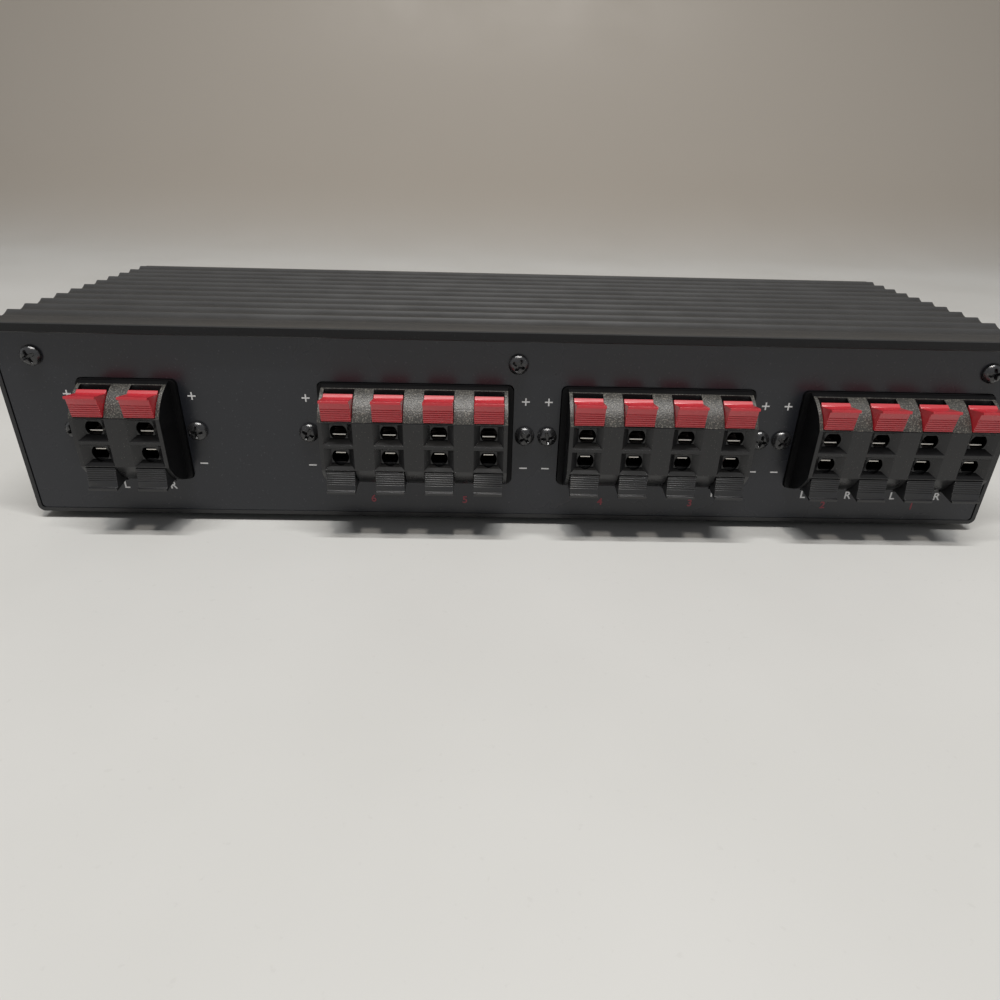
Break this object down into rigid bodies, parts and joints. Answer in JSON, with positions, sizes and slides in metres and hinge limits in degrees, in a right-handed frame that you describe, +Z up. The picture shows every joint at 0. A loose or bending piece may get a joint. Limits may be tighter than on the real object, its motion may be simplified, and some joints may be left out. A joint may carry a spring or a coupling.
{
  "type": "speaker selector switch",
  "caption": "Low, wide metal box with a fluted cover, a row of selector push-buttons on one long side and blocks of red and black push-lever speaker wire terminals on the other.",
  "frame": {"origin": "middle of the whole object's box in X and Y, on the surface that the feet stand on", "axes": "+X along the long terminal panel, to the right for someone who faces the terminals; +Y from the terminal panel to the control panel with the buttons; +Z up"},
  "size_m": [0.36, 0.1432, 0.0752],
  "materials": {
    "case_paint": "satin",
    "cover_paint": "satin",
    "housing_plastic": "fine grain",
    "red_lever_plastic": "satin gloss",
    "black_lever_plastic": "satin gloss",
    "contact_metal": "plated",
    "button_plastic": "satin",
    "switch_plastic": "moulded",
    "board_laminate": "lacquered",
    "resistor_ceramic": "cement",
    "standoff_brass": "turned",
    "zinc_steel": "zinc plated",
    "ribbon_plastic": "insulation",
    "black_steel": "blackened",
    "foot_rubber": "matte"
  },
  "bodies": {
    "case": {"chassis_tray": "case_paint", "top_cover": "cover_paint", "terminal_panel": "case_paint", "control_panel": "case_paint", "terminal_housing_input": "housing_plastic", "terminal_housing_left": "housing_plastic", "terminal_housing_middle": "housing_plastic", "terminal_housing_right": "housing_plastic", "contact_set_input": "contact_metal", "contact_set_left": "contact_metal", "contact_set_middle": "contact_metal", "contact_set_right": "contact_metal", "selector_switches": "switch_plastic", "circuit_board": "board_laminate", "protection_resistors": "resistor_ceramic", "board_standoffs": "standoff_brass", "board_screws": "zinc_steel", "wiring_ribbons": "ribbon_plastic", "terminal_screws": "black_steel", "panel_screws": "black_steel", "case_screws": "black_steel", "rubber_feet": "foot_rubber"},
    "red_lever_input_1_body": {"red_lever_input_1": "red_lever_plastic"},
    "black_lever_input_1_body": {"black_lever_input_1": "black_lever_plastic"},
    "red_lever_input_2_body": {"red_lever_input_2": "red_lever_plastic"},
    "black_lever_input_2_body": {"black_lever_input_2": "black_lever_plastic"},
    "red_lever_left_1_body": {"red_lever_left_1": "red_lever_plastic"},
    "black_lever_left_1_body": {"black_lever_left_1": "black_lever_plastic"},
    "red_lever_left_2_body": {"red_lever_left_2": "red_lever_plastic"},
    "black_lever_left_2_body": {"black_lever_left_2": "black_lever_plastic"},
    "red_lever_left_3_body": {"red_lever_left_3": "red_lever_plastic"},
    "black_lever_left_3_body": {"black_lever_left_3": "black_lever_plastic"},
    "red_lever_left_4_body": {"red_lever_left_4": "red_lever_plastic"},
    "black_lever_left_4_body": {"black_lever_left_4": "black_lever_plastic"},
    "red_lever_middle_1_body": {"red_lever_middle_1": "red_lever_plastic"},
    "black_lever_middle_1_body": {"black_lever_middle_1": "black_lever_plastic"},
    "red_lever_middle_2_body": {"red_lever_middle_2": "red_lever_plastic"},
    "black_lever_middle_2_body": {"black_lever_middle_2": "black_lever_plastic"},
    "red_lever_middle_3_body": {"red_lever_middle_3": "red_lever_plastic"},
    "black_lever_middle_3_body": {"black_lever_middle_3": "black_lever_plastic"},
    "red_lever_middle_4_body": {"red_lever_middle_4": "red_lever_plastic"},
    "black_lever_middle_4_body": {"black_lever_middle_4": "black_lever_plastic"},
    "red_lever_right_1_body": {"red_lever_right_1": "red_lever_plastic"},
    "black_lever_right_1_body": {"black_lever_right_1": "black_lever_plastic"},
    "red_lever_right_2_body": {"red_lever_right_2": "red_lever_plastic"},
    "black_lever_right_2_body": {"black_lever_right_2": "black_lever_plastic"},
    "red_lever_right_3_body": {"red_lever_right_3": "red_lever_plastic"},
    "black_lever_right_3_body": {"black_lever_right_3": "black_lever_plastic"},
    "red_lever_right_4_body": {"red_lever_right_4": "red_lever_plastic"},
    "black_lever_right_4_body": {"black_lever_right_4": "black_lever_plastic"},
    "selector_button_1_body": {"selector_button_1": "button_plastic"},
    "selector_button_2_body": {"selector_button_2": "button_plastic"},
    "selector_button_3_body": {"selector_button_3": "button_plastic"},
    "selector_button_4_body": {"selector_button_4": "button_plastic"},
    "selector_button_5_body": {"selector_button_5": "button_plastic"},
    "selector_button_6_body": {"selector_button_6": "button_plastic"}
  },
  "joints": [
    {"name": "red_lever_input_1_push", "type": "hinge", "parent": "case", "child": "red_lever_input_1_body", "pos_m": [-0.14481, -0.06445, 0.0461], "axis": [-1, 0, 0], "range_deg": [0, 12], "stiffness_Nm_per_rad": 0.02, "springref_deg": -5.73},
    {"name": "black_lever_input_1_push", "type": "hinge", "parent": "case", "child": "black_lever_input_1_body", "pos_m": [-0.14481, -0.06445, 0.0269], "axis": [1, 0, 0], "range_deg": [0, 12], "stiffness_Nm_per_rad": 0.02, "springref_deg": -5.73},
    {"name": "red_lever_input_2_push", "type": "hinge", "parent": "case", "child": "red_lever_input_2_body", "pos_m": [-0.12756, -0.06445, 0.0461], "axis": [-1, 0, 0], "range_deg": [0, 12], "stiffness_Nm_per_rad": 0.02, "springref_deg": -5.73},
    {"name": "black_lever_input_2_push", "type": "hinge", "parent": "case", "child": "black_lever_input_2_body", "pos_m": [-0.12756, -0.06445, 0.0269], "axis": [1, 0, 0], "range_deg": [0, 12], "stiffness_Nm_per_rad": 0.02, "springref_deg": -5.73},
    {"name": "red_lever_left_1_push", "type": "hinge", "parent": "case", "child": "red_lever_left_1_body", "pos_m": [-0.06173, -0.06445, 0.0461], "axis": [-1, 0, 0], "range_deg": [0, 12], "stiffness_Nm_per_rad": 0.02, "springref_deg": -5.73},
    {"name": "black_lever_left_1_push", "type": "hinge", "parent": "case", "child": "black_lever_left_1_body", "pos_m": [-0.06173, -0.06445, 0.0269], "axis": [1, 0, 0], "range_deg": [0, 12], "stiffness_Nm_per_rad": 0.02, "springref_deg": -5.73},
    {"name": "red_lever_left_2_push", "type": "hinge", "parent": "case", "child": "red_lever_left_2_body", "pos_m": [-0.04448, -0.06445, 0.0461], "axis": [-1, 0, 0], "range_deg": [0, 12], "stiffness_Nm_per_rad": 0.02, "springref_deg": -5.73},
    {"name": "black_lever_left_2_push", "type": "hinge", "parent": "case", "child": "black_lever_left_2_body", "pos_m": [-0.04448, -0.06445, 0.0269], "axis": [1, 0, 0], "range_deg": [0, 12], "stiffness_Nm_per_rad": 0.02, "springref_deg": -5.73},
    {"name": "red_lever_left_3_push", "type": "hinge", "parent": "case", "child": "red_lever_left_3_body", "pos_m": [-0.02723, -0.06445, 0.0461], "axis": [-1, 0, 0], "range_deg": [0, 12], "stiffness_Nm_per_rad": 0.02, "springref_deg": -5.73},
    {"name": "black_lever_left_3_push", "type": "hinge", "parent": "case", "child": "black_lever_left_3_body", "pos_m": [-0.02723, -0.06445, 0.0269], "axis": [1, 0, 0], "range_deg": [0, 12], "stiffness_Nm_per_rad": 0.02, "springref_deg": -5.73},
    {"name": "red_lever_left_4_push", "type": "hinge", "parent": "case", "child": "red_lever_left_4_body", "pos_m": [-0.00998, -0.06445, 0.0461], "axis": [-1, 0, 0], "range_deg": [0, 12], "stiffness_Nm_per_rad": 0.02, "springref_deg": -5.73},
    {"name": "black_lever_left_4_push", "type": "hinge", "parent": "case", "child": "black_lever_left_4_body", "pos_m": [-0.00998, -0.06445, 0.0269], "axis": [1, 0, 0], "range_deg": [0, 12], "stiffness_Nm_per_rad": 0.02, "springref_deg": -5.73},
    {"name": "red_lever_middle_1_push", "type": "hinge", "parent": "case", "child": "red_lever_middle_1_body", "pos_m": [0.02421, -0.06445, 0.0461], "axis": [-1, 0, 0], "range_deg": [0, 12], "stiffness_Nm_per_rad": 0.02, "springref_deg": -5.73},
    {"name": "black_lever_middle_1_push", "type": "hinge", "parent": "case", "child": "black_lever_middle_1_body", "pos_m": [0.02421, -0.06445, 0.0269], "axis": [1, 0, 0], "range_deg": [0, 12], "stiffness_Nm_per_rad": 0.02, "springref_deg": -5.73},
    {"name": "red_lever_middle_2_push", "type": "hinge", "parent": "case", "child": "red_lever_middle_2_body", "pos_m": [0.04146, -0.06445, 0.0461], "axis": [-1, 0, 0], "range_deg": [0, 12], "stiffness_Nm_per_rad": 0.02, "springref_deg": -5.73},
    {"name": "black_lever_middle_2_push", "type": "hinge", "parent": "case", "child": "black_lever_middle_2_body", "pos_m": [0.04146, -0.06445, 0.0269], "axis": [1, 0, 0], "range_deg": [0, 12], "stiffness_Nm_per_rad": 0.02, "springref_deg": -5.73},
    {"name": "red_lever_middle_3_push", "type": "hinge", "parent": "case", "child": "red_lever_middle_3_body", "pos_m": [0.05871, -0.06445, 0.0461], "axis": [-1, 0, 0], "range_deg": [0, 12], "stiffness_Nm_per_rad": 0.02, "springref_deg": -5.73},
    {"name": "black_lever_middle_3_push", "type": "hinge", "parent": "case", "child": "black_lever_middle_3_body", "pos_m": [0.05871, -0.06445, 0.0269], "axis": [1, 0, 0], "range_deg": [0, 12], "stiffness_Nm_per_rad": 0.02, "springref_deg": -5.73},
    {"name": "red_lever_middle_4_push", "type": "hinge", "parent": "case", "child": "red_lever_middle_4_body", "pos_m": [0.07596, -0.06445, 0.0461], "axis": [-1, 0, 0], "range_deg": [0, 12], "stiffness_Nm_per_rad": 0.02, "springref_deg": -5.73},
    {"name": "black_lever_middle_4_push", "type": "hinge", "parent": "case", "child": "black_lever_middle_4_body", "pos_m": [0.07596, -0.06445, 0.0269], "axis": [1, 0, 0], "range_deg": [0, 12], "stiffness_Nm_per_rad": 0.02, "springref_deg": -5.73},
    {"name": "red_lever_right_1_push", "type": "hinge", "parent": "case", "child": "red_lever_right_1_body", "pos_m": [0.11014, -0.06445, 0.0461], "axis": [-1, 0, 0], "range_deg": [0, 12], "stiffness_Nm_per_rad": 0.02, "springref_deg": -5.73},
    {"name": "black_lever_right_1_push", "type": "hinge", "parent": "case", "child": "black_lever_right_1_body", "pos_m": [0.11014, -0.06445, 0.0269], "axis": [1, 0, 0], "range_deg": [0, 12], "stiffness_Nm_per_rad": 0.02, "springref_deg": -5.73},
    {"name": "red_lever_right_2_push", "type": "hinge", "parent": "case", "child": "red_lever_right_2_body", "pos_m": [0.12739, -0.06445, 0.0461], "axis": [-1, 0, 0], "range_deg": [0, 12], "stiffness_Nm_per_rad": 0.02, "springref_deg": -5.73},
    {"name": "black_lever_right_2_push", "type": "hinge", "parent": "case", "child": "black_lever_right_2_body", "pos_m": [0.12739, -0.06445, 0.0269], "axis": [1, 0, 0], "range_deg": [0, 12], "stiffness_Nm_per_rad": 0.02, "springref_deg": -5.73},
    {"name": "red_lever_right_3_push", "type": "hinge", "parent": "case", "child": "red_lever_right_3_body", "pos_m": [0.14464, -0.06445, 0.0461], "axis": [-1, 0, 0], "range_deg": [0, 12], "stiffness_Nm_per_rad": 0.02, "springref_deg": -5.73},
    {"name": "black_lever_right_3_push", "type": "hinge", "parent": "case", "child": "black_lever_right_3_body", "pos_m": [0.14464, -0.06445, 0.0269], "axis": [1, 0, 0], "range_deg": [0, 12], "stiffness_Nm_per_rad": 0.02, "springref_deg": -5.73},
    {"name": "red_lever_right_4_push", "type": "hinge", "parent": "case", "child": "red_lever_right_4_body", "pos_m": [0.16189, -0.06445, 0.0461], "axis": [-1, 0, 0], "range_deg": [0, 12], "stiffness_Nm_per_rad": 0.02, "springref_deg": -5.73},
    {"name": "black_lever_right_4_push", "type": "hinge", "parent": "case", "child": "black_lever_right_4_body", "pos_m": [0.16189, -0.06445, 0.0269], "axis": [1, 0, 0], "range_deg": [0, 12], "stiffness_Nm_per_rad": 0.02, "springref_deg": -5.73},
    {"name": "selector_button_1_press", "type": "slide", "parent": "case", "child": "selector_button_1_body", "axis": [0, -1, 0], "range_m": [0, 0.003], "stiffness_N_per_m": 200, "springref_m": -0.001},
    {"name": "selector_button_2_press", "type": "slide", "parent": "case", "child": "selector_button_2_body", "axis": [0, -1, 0], "range_m": [0, 0.003], "stiffness_N_per_m": 200, "springref_m": -0.001},
    {"name": "selector_button_3_press", "type": "slide", "parent": "case", "child": "selector_button_3_body", "axis": [0, -1, 0], "range_m": [0, 0.003], "stiffness_N_per_m": 200, "springref_m": -0.001},
    {"name": "selector_button_4_press", "type": "slide", "parent": "case", "child": "selector_button_4_body", "axis": [0, -1, 0], "range_m": [0, 0.003], "stiffness_N_per_m": 200, "springref_m": -0.001},
    {"name": "selector_button_5_press", "type": "slide", "parent": "case", "child": "selector_button_5_body", "axis": [0, -1, 0], "range_m": [0, 0.003], "stiffness_N_per_m": 200, "springref_m": -0.001},
    {"name": "selector_button_6_press", "type": "slide", "parent": "case", "child": "selector_button_6_body", "axis": [0, -1, 0], "range_m": [0, 0.003], "stiffness_N_per_m": 200, "springref_m": -0.001}
  ]
}
